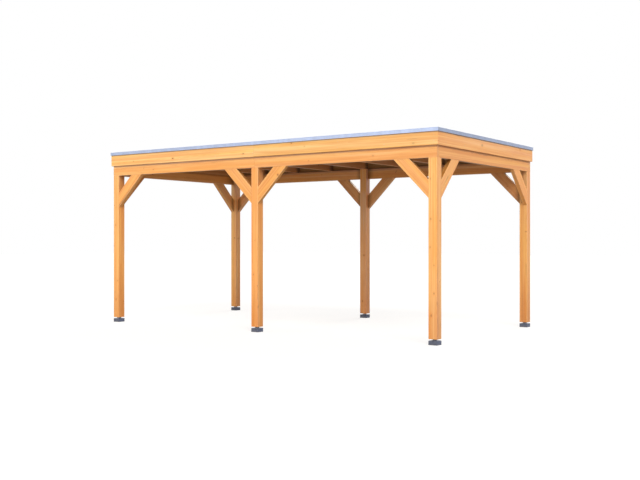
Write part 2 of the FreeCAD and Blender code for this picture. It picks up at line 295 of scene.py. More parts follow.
class Nodes:
    """Short ways to add and join shader nodes in one tree."""

    def __init__(self, tree):
        self.tree = tree

    def add(self, kind, **settings):
        node = self.tree.nodes.new(kind)
        for name, value in settings.items():
            setattr(node, name, value)
        return node

    def put(self, socket, value):
        """Link a socket, or set a plain value on it; a plain colour has no alpha."""
        if isinstance(value, bpy.types.NodeSocket):
            self.tree.links.new(value, socket)
        else:
            socket.default_value = (*value, 1.0) if socket.type == "RGBA" else value

    def feed(self, node, *values):
        for socket, value in zip(node.inputs, values):
            self.put(socket, value)

    def math(self, operation, *values, clamp=False):
        node = self.add("ShaderNodeMath", operation=operation, use_clamp=clamp)
        self.feed(node, *values)
        return node.outputs[0]

    def times(self, first, second):
        return self.math("MULTIPLY", first, second)

    def over(self, first, second):
        return self.math("DIVIDE", first, second)

    def minus(self, first, second):
        return self.math("SUBTRACT", first, second)

    def line(self, value, slope, level):
        """A value carried along a straight line."""
        return self.math("MULTIPLY_ADD", value, slope, level)

    def size(self, value):
        return self.math("ABSOLUTE", value)

    def vector(self, operation, *values):
        node = self.add("ShaderNodeVectorMath", operation=operation)
        self.feed(node, *values)
        return node.outputs["Value" if operation in ("LENGTH", "DOT_PRODUCT") else "Vector"]

    def split(self, vector):
        node = self.add("ShaderNodeSeparateXYZ")
        self.put(node.inputs[0], vector)
        return node.outputs

    def join(self, x, y, z):
        node = self.add("ShaderNodeCombineXYZ")
        self.feed(node, x, y, z)
        return node.outputs[0]

    def place(self):
        """The point on the surface, in metres from the object's origin."""
        return self.add("ShaderNodeTexCoord").outputs["Object"]

    def coordinate(self, axis):
        return self.split(self.place())[axis]

    def height(self):
        return self.coordinate(2)

    def noise(self, vector, stretch, detail=2.0, roughness=0.5, output="Fac"):
        """Noise with waves per metre, one number for all ways or one for each."""
        stretch = stretch if isinstance(stretch, tuple) else (stretch,) * 3
        node = self.add("ShaderNodeTexNoise")
        self.put(node.inputs["Vector"], self.vector("MULTIPLY", vector, stretch))
        node.inputs["Scale"].default_value = 1.0
        node.inputs["Detail"].default_value = detail
        node.inputs["Roughness"].default_value = roughness
        return node.outputs[output]

    def ramp(self, value, low, high, out_low=0.0, out_high=1.0):
        """Carry a value smoothly from one range to another, held at both ends."""
        node = self.add("ShaderNodeMapRange", interpolation_type="SMOOTHSTEP", clamp=True)
        self.feed(node, value, low, high, out_low, out_high)
        return node.outputs[0]

    def mix(self, share, first, second, blend="MIX"):
        node = self.add("ShaderNodeMix", data_type="RGBA", blend_type=blend)
        for name, value in (("Factor_Float", share), ("A_Color", first), ("B_Color", second)):
            self.put(next(socket for socket in node.inputs if socket.identifier == name), value)
        return next(socket for socket in node.outputs if socket.identifier == "Result_Color")

    def bump(self, height, strength, distance):
        node = self.add("ShaderNodeBump")
        node.inputs["Strength"].default_value = strength
        node.inputs["Distance"].default_value = distance
        self.put(node.inputs["Height"], height)
        return node.outputs[0]


def coat(nodes, shader, base, roughness, relief):
    """Link a shader's base colour, roughness and relief, given as height, strength and depth."""
    nodes.put(shader.inputs["Base Color"], base)
    nodes.put(shader.inputs["Roughness"], roughness)
    nodes.put(shader.inputs["Normal"], nodes.bump(*relief))


def new_material(name):
    """An empty node material and its Principled shader."""
    material = bpy.data.materials.new(name)
    material.use_nodes = True
    return material, Nodes(material.node_tree), material.node_tree.nodes["Principled BSDF"]


def main_camera():
    data = bpy.data.cameras.new("camera")
    data.sensor_width = SENSOR_WIDTH
    data.lens = LENS
    camera = bpy.data.objects.new("camera", data)
    camera.location = CAMERA_PLACE
    camera.rotation_euler = (math.radians(90), 0, math.radians(CAMERA_TURN))
    bpy.context.scene.collection.objects.link(camera)
    bpy.context.scene.camera = camera


def wander(nodes, place):
    """Let the pith drift along the timber and the grain ripple a little."""
    half = (0.5, 0.5, 0.5)
    drift = nodes.noise(place, (0.5, 0.0, 0.0), 1.0, output="Color")
    drift = nodes.vector("MULTIPLY", nodes.vector("SUBTRACT", drift, half), (0.0, 0.08, 0.08))
    ripple = nodes.noise(place, (4.0, 9.0, 9.0), output="Color")
    ripple = nodes.vector("MULTIPLY", nodes.vector("SUBTRACT", ripple, half), (0.0, 0.007, 0.007))
    return nodes.vector("ADD", nodes.vector("ADD", place, drift), ripple)


def knots_of(nodes, x, y, z, radius, normal, amount):
    """Branches cut across by the face: distance from the axis in radii, whether one is there, its shade."""
    cell = nodes.join(nodes.times(x, KNOT_ALONG),
                      nodes.over(nodes.times(y, KNOT_AROUND), radius),
                      nodes.over(nodes.times(z, KNOT_AROUND), radius))
    voronoi = nodes.add("ShaderNodeTexVoronoi", voronoi_dimensions="3D", feature="F1")
    nodes.put(voronoi.inputs["Vector"], cell)
    voronoi.inputs["Scale"].default_value = 1.0
    branch_x, branch_y, branch_z = nodes.split(voronoi.outputs["Position"])
    outward = nodes.join(0.0, branch_y, branch_z)
    length = nodes.vector("LENGTH", outward)
    cross = nodes.minus(nodes.times(y, branch_z), nodes.times(z, branch_y))
    across = nodes.over(cross, length)
    along = nodes.minus(x, nodes.over(branch_x, KNOT_ALONG))
    distance = nodes.vector("LENGTH", nodes.join(along, across, 0.0))
    chance = nodes.split(voronoi.outputs["Color"])
    steep = nodes.size(nodes.vector("DOT_PRODUCT", normal, outward))
    across_face = nodes.ramp(nodes.over(steep, length), 0.5, 0.62)
    present = nodes.times(nodes.math("LESS_THAN", chance[0], amount), across_face)
    least, added = KNOT_SIZES
    size = nodes.line(nodes.math("POWER", chance[1], 2.0), added, least)
    return nodes.over(distance, size), present, chance[2]


def checks_of(nodes, x, y, z, radius):
    """Fine drying cracks that run along the timber and in towards the pith."""
    around = [nodes.over(part, radius) for part in (y, z)]
    around = nodes.join(nodes.times(x, 0.5), *around)
    sheet = nodes.noise(around, (1.0, 1.6, 1.6), 2.0, 0.6)
    off = nodes.times(nodes.size(nodes.minus(sheet, 0.5)), radius)
    opened = nodes.ramp(nodes.noise(around, (1.7, 0.8, 0.8), 1.0), 0.59, 0.69)
    return nodes.times(nodes.ramp(off, 0.0, 0.0006, 1.0, 0.0), opened)


def washed(nodes, base, share, factors):
    """A colour multiplied by factors where share is one."""
    return nodes.mix(share, base, nodes.mix(1.0, base, factors, "MULTIPLY"))


def growth_rings(nodes, x, bent):
    """Rings and broader bands around the pith: pale early wood darkens to a thin line of late wood."""
    rolled = nodes.join(bent, x, 0.0)
    spacing = nodes.noise(rolled, (22.0, 0.3, 0.0), 1.0)
    phase = nodes.math("FRACT", nodes.times(nodes.line(spacing, 0.014, bent), RINGS_PER_METRE))
    late = nodes.times(nodes.math("POWER", phase, 2.2), nodes.ramp(phase, 0.92, 1.0, 1.0, 0.0))
    return late, nodes.noise(rolled, (70.0, 0.35, 0.0))


def dark_share(nodes, place, late, band, fibre):
    """How dark the wood is, from rings, fibres, streaks and slow changes of tone along the timber."""
    streak = nodes.noise(place, (0.9, 55.0, 55.0), 3.0, 0.6)
    stripe = nodes.noise(place, (0.14, 17.0, 17.0))
    cloud = nodes.noise(place, (1.5, 7.0, 7.0))
    share = nodes.line(late, 0.30, nodes.ramp(band, 0.30, 0.72, 0.0, 0.36))
    share = nodes.math("ADD", share, nodes.ramp(streak, 0.38, 0.62, 0.0, 0.62))
    share = nodes.math("ADD", share, nodes.ramp(stripe, 0.36, 0.62, 0.0, 0.55))
    share = nodes.math("ADD", share, nodes.line(fibre, 0.2, -0.1))
    return nodes.math("ADD", share, nodes.line(cloud, 0.5, -0.60), clamp=True)


def flushed(nodes, wood, place):
    """The wood a little warmer in some streaks and pinker in others."""
    flush = nodes.noise(nodes.vector("ADD", place, (3.0, 1.7, 0.9)), (0.3, 15.0, 15.0))
    warm = nodes.mix(1.0, wood, WARM_WOOD, "MULTIPLY")
    pink = nodes.mix(1.0, wood, PINK_WOOD, "MULTIPLY")
    return nodes.mix(nodes.ramp(flush, 0.38, 0.62), warm, pink)


def knotted(nodes, wood, reach, present, knot, shade):
    """The wood with its knots, each with rings of its own and a stained halo."""
    halo = nodes.times(nodes.ramp(reach, 0.9, 3.2, 1.0, 0.0), present)
    wood = washed(nodes, wood, nodes.times(halo, 0.6), KNOT_HALO)
    rings = nodes.ramp(nodes.math("FRACT", nodes.times(reach, 3.1)), 0.2, 0.9)
    heart = nodes.mix(shade, HEART_DARK, HEART_PALE)
    heart = nodes.mix(nodes.times(rings, 0.5), heart, HEART_RING)
    return nodes.mix(nodes.times(knot, 0.85), wood, heart)


def timber_group():
    """Planed softwood in a timber's own coordinates: X along the grain, the pith near the X axis."""
    tree = bpy.data.node_groups.new("timber_grain", "ShaderNodeTree")
    for name, kind in TIMBER_INPUTS:
        tree.interface.new_socket(name, in_out="INPUT", socket_type="NodeSocket" + kind)
    for name, kind in TIMBER_OUTPUTS:
        tree.interface.new_socket(name, in_out="OUTPUT", socket_type="NodeSocket" + kind)
    draw_timber(Nodes(tree))
    return tree


def draw_timber(nodes):
    """The nodes inside the timber group, from its inputs to its outputs."""
    given = nodes.add("NodeGroupInput").outputs
    place = given["Vector"]
    x, y, z = nodes.split(wander(nodes, place))
    radius = nodes.vector("LENGTH", nodes.join(0.0, y, z))
    reach, present, shade = knots_of(nodes, x, y, z, radius, given["Normal"], given["Knots"])
    swirl = nodes.math("EXPONENT", nodes.times(nodes.times(reach, reach), -0.14))
    knot = nodes.times(nodes.ramp(reach, 0.7, 1.1, 1.0, 0.0), present)
    bent = nodes.line(nodes.times(swirl, present), 0.010, radius)
    late, band = growth_rings(nodes, x, bent)
    fibre = nodes.noise(place, (5.0, 700.0, 700.0))
    share = dark_share(nodes, place, late, band, fibre)
    wood = flushed(nodes, nodes.mix(share, given["Light"], given["Dark"]), place)
    wood = knotted(nodes, wood, reach, present, knot, shade)
    end_on = nodes.ramp(nodes.size(nodes.split(given["Normal"])[0]), 0.8, 0.95, 0.0, 0.5)
    wood = washed(nodes, wood, end_on, SAWN_END)
    crack = checks_of(nodes, x, y, z, radius)

    leaving = nodes.add("NodeGroupOutput").inputs
    nodes.put(leaving["Color"], nodes.mix(nodes.times(crack, 0.7), wood, CRACK))
    sheen = nodes.line(fibre, 0.14, 0.42)
    nodes.put(leaving["Roughness"], nodes.line(share, -0.10, sheen))
    grain = nodes.line(late, 0.6, nodes.times(fibre, 0.5))
    grain = nodes.line(crack, -2.0, grain)
    nodes.put(leaving["Height"], nodes.line(knot, 0.5, grain))


TIMBER = timber_group()


def worn_edge_highlight(nodes, normal, direction):
    """Where the eased long edges of a timber are rubbed pale: wear, and a painted highlight along the
    arrises.
    """
    side = ALONG_X if direction == UP else direction.cross(UP).normalized()
    level = direction.cross(side)
    across = nodes.size(nodes.vector("DOT_PRODUCT", normal, tuple(side)))
    upward = nodes.size(nodes.vector("DOT_PRODUCT", normal, tuple(level)))
    rubbed = nodes.ramp(nodes.noise(nodes.place(), 14.0), 0.35, 0.65, 0.12, 0.5)
    return nodes.times(nodes.ramp(nodes.times(across, upward), 0.2, 0.45), rubbed)


def sideways_share(nodes, normal):
    """One on faces that look left or right, zero on all others."""
    return nodes.ramp(nodes.size(nodes.split(normal)[0]), 0.6, 0.9)


def facing(nodes, normal, way):
    """One on faces that look one way, zero on all others."""
    return nodes.ramp(nodes.vector("DOT_PRODUCT", normal, tuple(way)), 0.7, 0.9)


def inner_share(nodes, normal, name):
    """One on the faces of a post that look into the cover, zero on its outer faces."""
    centre = centre_of(name)
    across, deep, _ = nodes.split(normal)
    if name.endswith("_middle"):
        across = nodes.size(across)
    else:
        across = nodes.times(across, -math.copysign(1.0, centre[0]))
    deep = nodes.times(deep, -math.copysign(1.0, centre[1]))
    return nodes.ramp(nodes.math("MAXIMUM", across, deep), 0.6, 0.9)


def post_light_and_shade(nodes, wood, normal):
    """Painted light and shade on the posts: darker low down, paler higher up in front, and pinker there on
    their sides.
    """
    height = nodes.height()
    aside = sideways_share(nodes, normal)
    low = nodes.ramp(height, *POST_LOW_BAND, 1.0, 0.0)
    high = nodes.ramp(height, *POST_HIGH_BAND)
    wood = washed(nodes, wood, low, POST_LOW_SHADE)
    graded = nodes.mix(high, POST_SIDE_LOW, POST_SIDE_HIGH)
    wood = washed(nodes, wood, aside, graded)
    wood = washed(nodes, wood, nodes.times(low, aside), POST_SIDE_FOOT_LIGHT)
    return washed(nodes, wood, nodes.times(high, nodes.minus(1.0, aside)), POST_FRONT_HIGH)


def painted_shadow_line(nodes, wood, band, factors):
    """A ragged painted shadow line under an edge; it grows over a band of height."""
    place = nodes.place()
    ragged = nodes.minus(nodes.noise(place, 9.0, 3.0), 0.5)
    ragged = nodes.line(ragged, 0.012, nodes.split(place)[2])
    return washed(nodes, wood, nodes.ramp(ragged, *band), factors)


def faded_beam(nodes, wood):
    """The long beams are paler above than in the middle, and a little paler at the foot."""
    height = nodes.height()
    wood = washed(nodes, wood, nodes.ramp(height, *BEAM_TOP_BAND), LONG_BEAM_TOP)
    return washed(nodes, wood, nodes.ramp(height, *BEAM_FOOT_BAND, 1.0, 0.0), LONG_BEAM_FOOT)


def shaded_brace(nodes, wood, normal, name):
    """Painted shade on the braces' upper sides, most under the beam; those at the back are tinted a little
    greyer and bluer as painted shade.
    """
    if name.startswith("brace_back"):
        wood = washed(nodes, wood, 1.0, BACK_BRACE_SHADE)
    upper = nodes.ramp(nodes.split(normal)[2], 0.5, 0.65)
    top = nodes.times(upper, nodes.ramp(nodes.height(), *BRACE_TOP_BAND))
    return washed(nodes, washed(nodes, wood, upper, BRACE_UPPER_SHADE), top, BRACE_TOP_SHADE)


def corner_shade(nodes, wood, normal, inward, reach, length, factors):
    """Painted shade on an inner face near a post: it fades as reach, the distance from the post, grows to
    length.
    """
    share = nodes.times(nodes.ramp(reach, 0.0, length, 1.0, 0.0), facing(nodes, normal, inward))
    return washed(nodes, wood, share, factors)


def shaded_vees(nodes, wood, normal):
    """Painted shade in the vees between the roof boards."""
    return washed(nodes, wood, nodes.ramp(nodes.size(nodes.split(normal)[1]), 0.2, 0.5), VEE_SHADE)


def beam_underside_shade_and_top(nodes, wood, normal):
    """Painted shade on the undersides of the beams, and their tops darker."""
    upward = nodes.split(normal)[2]
    wood = washed(nodes, wood, nodes.ramp(upward, -0.9, -0.7, 1.0, 0.0), BEAM_UNDERSIDE)
    return washed(nodes, wood, nodes.ramp(upward, 0.3, 0.6), BEAM_TOP)


def shaded_rafter_ends(nodes, wood, normal):
    """Painted shade on the ends of the rafters, over the beams."""
    depth = nodes.size(nodes.coordinate(1))
    return washed(nodes, wood, nodes.ramp(depth, *RAFTER_END_BAND), RAFTER_END)


def shaded_fascia_inside(nodes, wood, normal, inward):
    """Painted shade on the hidden face of a fascia board, darkest low down."""
    inside = facing(nodes, normal, inward)
    low = nodes.times(nodes.ramp(nodes.height(), *FASCIA_LOW_BAND, 1.0, 0.0), inside)
    return washed(nodes, washed(nodes, wood, inside, FASCIA_INSIDE), low, FASCIA_INSIDE_LOW)


def marked_knots(nodes, wood, name, normal):
    """The knots that stand out on one timber, each in a stain drawn out along the grain."""
    place = nodes.place()
    parts = nodes.split(place)
    along, across, turned_away = parts[axis_of(name)], parts[2], nodes.split(normal)[2]
    if name.startswith("post_"):
        along, across, turned_away = across, along, nodes.split(normal)[0]
    here = nodes.ramp(nodes.size(turned_away), 0.4, 0.7, 1.0, 0.0)
    ragged = nodes.noise(place, 70.0)
    for middle, level, size, depth in KNOTS.get(name, ()):
        run = nodes.times(nodes.minus(along, middle), MARK_RUN)
        reach = nodes.vector("LENGTH", nodes.join(run, nodes.minus(across, level), 0.0))
        reach = nodes.line(ragged, MARK_RAGGED * size, reach)
        stain, heart = [[size * part for part in band] for band in (MARK_STAIN, MARK_HEART)]
        stain = nodes.times(nodes.ramp(reach, *stain, MARK_STAIN_SHARE * depth, 0.0), here)
        heart = nodes.times(nodes.ramp(reach, *heart, depth, 0.0), here)
        wood = nodes.mix(heart, washed(nodes, wood, stain, KNOT_STAIN), MARKED_HEART)
    return wood


def wood_shader(name, own_place, direction, tone, knots, finish):
    """Wood in the timber's own_place(nodes, seed, normal), with a finish(nodes, wood, normal) over it."""
    material, nodes, shader = new_material(name)
    seed = random.Random(name)
    group = nodes.add("ShaderNodeGroup", node_tree=TIMBER)
    normal = nodes.add("ShaderNodeNewGeometry").outputs["Normal"]
    place, turned = own_place(nodes, seed, normal)
    nodes.put(group.inputs["Vector"], place)
    nodes.put(group.inputs["Normal"], turned)
    shift = seed.uniform(-TONE_SHIFT, TONE_SHIFT)
    for socket, value in zip(("Light", "Dark"), tone):
        nodes.put(group.inputs[socket], [min(1.0, part * (1 + shift)) for part in value])
    nodes.put(group.inputs["Knots"], knots)
    # Rubbed pale edges: wear, and a painted highlight along the arrises.
    rubbed = worn_edge_highlight(nodes, normal, direction)
    wood = nodes.mix(rubbed, group.outputs["Color"], RUBBED_WOOD_HIGHLIGHT)
    wood = finish(nodes, marked_knots(nodes, wood, name, normal), normal)
    coat(nodes, shader, wood, group.outputs["Roughness"], (group.outputs["Height"], 0.25, 0.0008))
    return material


def single_timber(direction, centre, pith):
    """Coordinates of one timber, with its own cut from the log and a slight slope of grain."""
    turn = direction.rotation_difference(ALONG_X)

    def own_place(nodes, seed, normal):
        turned = nodes.add("ShaderNodeMapping", vector_type="VECTOR")
        nodes.put(turned.inputs["Vector"], normal)
        turned.inputs["Rotation"].default_value = turn.to_euler()
        mapping = nodes.add("ShaderNodeMapping")
        nodes.put(mapping.inputs["Vector"], nodes.place())
        mapping.inputs["Rotation"].default_value = turn.to_euler()
        mapping.inputs["Location"].default_value = -(turn.to_matrix() @ centre)
        along = nodes.split(mapping.outputs[0])[0]
        slope = (0.0, seed.uniform(-GRAIN_SLOPE, GRAIN_SLOPE), seed.uniform(-GRAIN_SLOPE, GRAIN_SLOPE))
        cut = (seed.uniform(-LOG_REACH, LOG_REACH),
               pith[0] * seed.choice((-1, 1)), pith[1] * seed.choice((-1, 1)))
        sloped = nodes.vector("MULTIPLY_ADD", nodes.join(along, along, along), slope, mapping.outputs[0])
        return nodes.vector("ADD", sloped, cut), turned.outputs[0]

    return own_place


def timber_row(along, across, first, spacing, middle, pith):
    """Coordinates of a row of like timbers, each with its own cut from the log."""
    def own_place(nodes, seed, normal):
        parts = nodes.split(nodes.place())
        faces = nodes.split(normal)
        step = nodes.over(nodes.minus(parts[across], first), spacing)
        number = nodes.math("ROUND", step)
        inside = nodes.times(nodes.minus(step, number), spacing)
        draw = nodes.add("ShaderNodeTexWhiteNoise", noise_dimensions="1D")
        nodes.put(draw.inputs["W"], nodes.math("ADD", number, seed.uniform(0, ROW_REACH)))
        shift = nodes.split(draw.outputs["Color"])
        run = nodes.line(shift[0], LOG_REACH, parts[along])
        side = nodes.line(nodes.minus(shift[1], 0.5), 2 * pith[0], inside)
        level = nodes.minus(parts[2], middle)
        depth = nodes.line(shift[2], pith[1], nodes.math("ADD", level, pith[1]))
        return nodes.join(run, side, depth), nodes.join(faces[along], faces[across], faces[2])

    return own_place


def dress(node_name, material):
    """Give a CAD node one material."""
    for slot in NODES[node_name].material_slots:
        slot.material = material


def box_of(*names):
    """The lowest and the highest corner of one node, or of several together."""
    corners = list(zip(*[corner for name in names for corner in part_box(name)]))
    return Vector([min(parts) for parts in corners]), Vector([max(parts) for parts in corners])


def centre_of(node_name):
    low, high = box_of(node_name)
    return (low + high) / 2


def brace_direction(name):
    """The way a knee brace climbs, from its post up to its beam."""
    if "_side_" in name:
        return Vector((0, 1 if name.endswith("front") else -1, 1)).normalized()
    towards_right = name.endswith("_middle_right") or (name.endswith("_left") and "middle" not in name)
    return Vector((1 if towards_right else -1, 0, 1)).normalized()


def axis_of(name):
    """The axis that a timber of the rim runs along."""
    return 1 if "_side" in name else 0


def inward_of(name):
    """The way from a timber at the rim of the cover to its middle."""
    if axis_of(name):
        return ALONG_X if "_left_" in name else -ALONG_X
    return ALONG_Y if "_front_" in name else -ALONG_Y


def dress_timber(name, direction, tone, finish):
    """Give one timber wood of its own; a fascia board with marked knots has no others."""
    kind = name.split("_")[0]
    knots = 0.0 if kind == "fascia" and name in KNOTS else KNOT_SHARES[kind]
    cut = single_timber(direction, centre_of(name), PITHS[kind])
    dress(name, wood_shader(name, cut, direction, tone, knots, finish))


def dress_post(name):
    def finish(nodes, wood, normal):
        # This finish is painted light and shade: on the sides, on the head's inner faces and front, and on
        # the upper half.
        aside = sideways_share(nodes, normal)
        wood = post_light_and_shade(nodes, wood, normal)
        wood = washed(nodes, wood, aside, SIDE_LIGHT_FACTORS.get(name, UNCHANGED))
        head = nodes.ramp(nodes.height(), *POST_HEAD_BAND)
        wood = washed(nodes, wood, nodes.times(head, inner_share(nodes, normal, name)), POST_HEAD)
        front = nodes.times(head, nodes.minus(1.0, aside))
        wood = washed(nodes, wood, front, HEAD_LIGHT_FACTORS.get(name, UNCHANGED))
        upper = nodes.ramp(nodes.height(), *POST_UPPER_BAND)
        return washed(nodes, wood, upper, HIGH_LIGHT_FACTORS.get(name, UNCHANGED))

    dress_timber(name, UP, OWN_TONES.get(name, POST_TONE), finish)


def post_distance(nodes, axis):
    """Distance from the nearest post, along x or y."""
    inner_face = min(abs(side[axis]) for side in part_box("post_front_right"))
    low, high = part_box("post_front_middle")
    half_post = (high[0] - low[0]) / 2
    place = nodes.size(nodes.coordinate(axis))
    from_corner = nodes.minus(inner_face, place)
    if axis == 1:
        return from_corner
    return nodes.math("MINIMUM", from_corner, nodes.minus(place, half_post))


def dress_beam(name):
    axis = axis_of(name)

    def finish(nodes, wood, normal):
        wood = wood if axis else faded_beam(nodes, wood)
        # Painted shadow under the fascia, and painted shade in the corners by the posts and on the
        # undersides; the tops darker.
        wood = painted_shadow_line(nodes, wood, BEAM_SHADOW_BAND, BEAM_SHADOW_LINE[axis])
        reach = post_distance(nodes, axis)
        wood = corner_shade(nodes, wood, normal, inward_of(name), reach, BEAM_CORNER[axis], BEAM_CORNER_SHADE)
        return beam_underside_shade_and_top(nodes, wood, normal)

    dress_timber(name, RUNS[axis], OWN_TONES.get(name, BEAM_TONE), finish)


def dress_fascia(name):
    axis = axis_of(name)

    def finish(nodes, wood, normal):
        # Painted shadow under the trim, and painted shade on the inner face, darkest low down.
        wood = painted_shadow_line(nodes, wood, FASCIA_SHADOW_BAND, FASCIA_SHADOW_LINE[axis])
        return shaded_fascia_inside(nodes, wood, normal, inward_of(name))

    dress_timber(name, RUNS[axis], FASCIA_TONES[axis], finish)


def dress_brace(name):
    climb = brace_direction(name)
    axis = axis_of(name)
    low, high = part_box(name)
    foot, way = (low[axis], 1.0) if climb[axis] > 0 else (high[axis], -1.0)

    def finish(nodes, wood, normal):
        # Painted shade on the upper sides and in the corners by the posts.
        wood = shaded_brace(nodes, wood, normal, name)
        reach = nodes.line(nodes.coordinate(axis), way, -way * foot)
        return corner_shade(nodes, wood, normal, inward_of(name), reach, BRACE_CORNER, BRACE_CORNER_SHADE)

    dress_timber(name, climb, BEAM_TONE, finish)


def dress_rafters():
    low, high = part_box("rafters")
    row = timber_row(1, 0, RAFTER_FIRST, RAFTER_SPACING, (low[2] + high[2]) / 2, PITHS["rafters"])
    material = wood_shader("rafters", row, ALONG_Y, RAFTER_TONE, KNOT_SHARES["rafters"], shaded_rafter_ends)
    dress("rafters", material)


def dress_timbers():
    kinds = {"post": dress_post, "beam": dress_beam, "fascia": dress_fascia, "brace": dress_brace}
    for name in NODES:
        dress_one = kinds.get(name.split("_")[0])
        if dress_one:
            dress_one(name)
    dress_rafters()


def tinted(nodes, base, shade):
    """A base colour multiplied by a shade that varies over the surface."""
    return nodes.mix(1.0, base, nodes.join(shade, shade, shade), "MULTIPLY")


def shoe_material():
    """Satin dark grey coating on cast shoes, rubbed and dusty low down, with painted bluish light on their
    sides.
    """
    material, nodes, shader = new_material("foot_coating")
    place = nodes.place()
    grit = nodes.noise(place, 420.0)
    patch = nodes.noise(place, 28.0, 3.0)
    base = tinted(nodes, SHOE_COAT, nodes.ramp(patch, 0.3, 0.7, 0.9, 1.12))
    low = nodes.ramp(nodes.split(place)[2], 0.0, 0.03, 0.5, 0.0)
    base = nodes.mix(nodes.times(low, nodes.ramp(patch, 0.35, 0.65)), base, SHOE_DUST)
    # Painted bluish light on the sides.
    aside = sideways_share(nodes, nodes.add("ShaderNodeNewGeometry").outputs["Normal"])
    base = washed(nodes, base, aside, SHOE_SIDE_LIGHT)
    coat(nodes, shader, base, nodes.line(grit, 0.16, 0.28), (grit, 0.3, 0.0004))
    return material


def adjuster_material():
    """Zinc plate on turned steel, rubbed brighter where a spanner meets it."""
    material, nodes, shader = new_material("adjuster_coating")
    place = nodes.place()
    grain = nodes.noise(place, 700.0)
    rub = nodes.ramp(nodes.noise(place, 60.0, 3.0), 0.52, 0.68, 0.0, 0.35)
    base = tinted(nodes, ADJUSTER_COAT, nodes.ramp(grain, 0.3, 0.7, 0.9, 1.1))
    base = nodes.mix(rub, base, RUBBED_ZINC)
    coat(nodes, shader, base, nodes.line(grain, 0.2, 0.3), (grain, 0.2, 0.0002))
    return material


def screw_material(name, metal):
    """Brushed bright metal of the screws."""
    material, nodes, shader = new_material(name)
    place = nodes.place()
    stain = nodes.noise(place, 90.0)
    brush = nodes.noise(place, 1500.0, 1.0)
    base = tinted(nodes, metal, nodes.ramp(stain, 0.3, 0.7, 0.8, 1.1))
    coat(nodes, shader, base, nodes.line(brush, 0.2, 0.25), (brush, 0.2, 0.0001))
    nodes.put(shader.inputs["Metallic"], 0.9)
    return material


def rubber_material():
    """Near-black roofing rubber with pale dust where puddles have dried."""
    material, nodes, shader = new_material("roofing_rubber")
    place = nodes.place()
    tooth = nodes.noise(place, 900.0)
    puddle = nodes.noise(place, 1.6, 4.0, 0.55)
    rim = nodes.ramp(nodes.size(nodes.minus(puddle, 0.56)), 0.0, 0.03, 0.07, 0.0)
    dust = nodes.math("ADD", rim, nodes.ramp(puddle, 0.36, 0.74, 0.08, 0.28))
    base = tinted(nodes, RUBBER, nodes.ramp(tooth, 0.3, 0.7, 0.8, 1.2))
    base = nodes.mix(dust, base, RUBBER_DUST)
    coat(nodes, shader, base, nodes.line(dust, 0.5, 0.55), (tooth, 0.3, 0.0003))
    nodes.put(shader.inputs["Specular IOR Level"], 0.2)
    return material


def trim_material(side, axis):
    """Coated aluminium with fine drawing lines along it and rain marks down it; the front and back are paler
    towards the right, as a painted reflection.
    """
    material, nodes, shader = new_material("trim_coating_" + side)
    place = nodes.place()
    stretch = [600.0, 600.0, 600.0]
    stretch[axis] = 2.0
    lines = nodes.noise(place, tuple(stretch))
    rain = nodes.noise(place, (9.0, 9.0, 1.5), 3.0)
    base = tinted(nodes, TRIM_COAT[axis], nodes.ramp(rain, 0.3, 0.7, 0.93, 1.05))
    # Painted reflection: the front and back grow paler towards the right.
    if axis == 0:
        base = tinted(nodes, base, nodes.ramp(nodes.split(place)[0], *TRIM_REFLECTION_FADE))
    coat(nodes, shader, base, nodes.line(lines, 0.14, 0.30), (lines, 0.15, 0.0003))
    nodes.put(shader.inputs["Metallic"], 0.25)
    return material


def dress_metal():
    shoe = shoe_material()
    for name in NODES:
        if name.startswith("foot_") and name != "foot_adjusters":
            dress(name, shoe)
    dress("foot_adjusters", adjuster_material())
    for side, axis in (("front", 0), ("back", 0), ("left", 1), ("right", 1)):
        dress("edge_trim_" + side, trim_material(side, axis))


def add_piece(name, shape, material):
    """Turn a bmesh into a piece of the scene that rides on the body."""
    mesh = bpy.data.meshes.new(name)
    bmesh.ops.recalc_face_normals(shape, faces=shape.faces)
    shape.to_mesh(mesh)
    shape.free()
    mesh.materials.append(material)
    piece = bpy.data.objects.new(name, mesh)
    bpy.context.scene.collection.objects.link(piece)
    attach(piece, "root")
    return piece


def board_profile(width, thickness, tongued):
    """A board's section across the roof, from its lower left corner, with its good face down."""
    left = BOARD_GAP / 2
    right = width - BOARD_GAP / 2
    low, high = TONGUE_BAND
    points = [(left + BOARD_VEE, 0), (right - BOARD_VEE, 0), (right, BOARD_VEE)]
    if tongued:
        points += [(right, low), (right + TONGUE_REACH, low), (right + TONGUE_REACH, high), (right, high)]
    points += [(right, thickness), (left, thickness)]
    points += [(left, high), (left + GROOVE_DEPTH, high), (left + GROOVE_DEPTH, low), (left, low)]
    return points + [(left, BOARD_VEE)]


def add_prism(shape, section, start, end):
    """A solid prism along X between two values; section holds (y, z) points."""
    near = [shape.verts.new((start, y, z)) for y, z in section]
    far = [shape.verts.new((end, y, z)) for y, z in section]
    shape.faces.new(near)
    shape.faces.new(far[::-1])
    for this, following in zip(range(len(section)), list(range(1, len(section))) + [0]):
        shape.faces.new((near[this], far[this], far[following], near[following]))


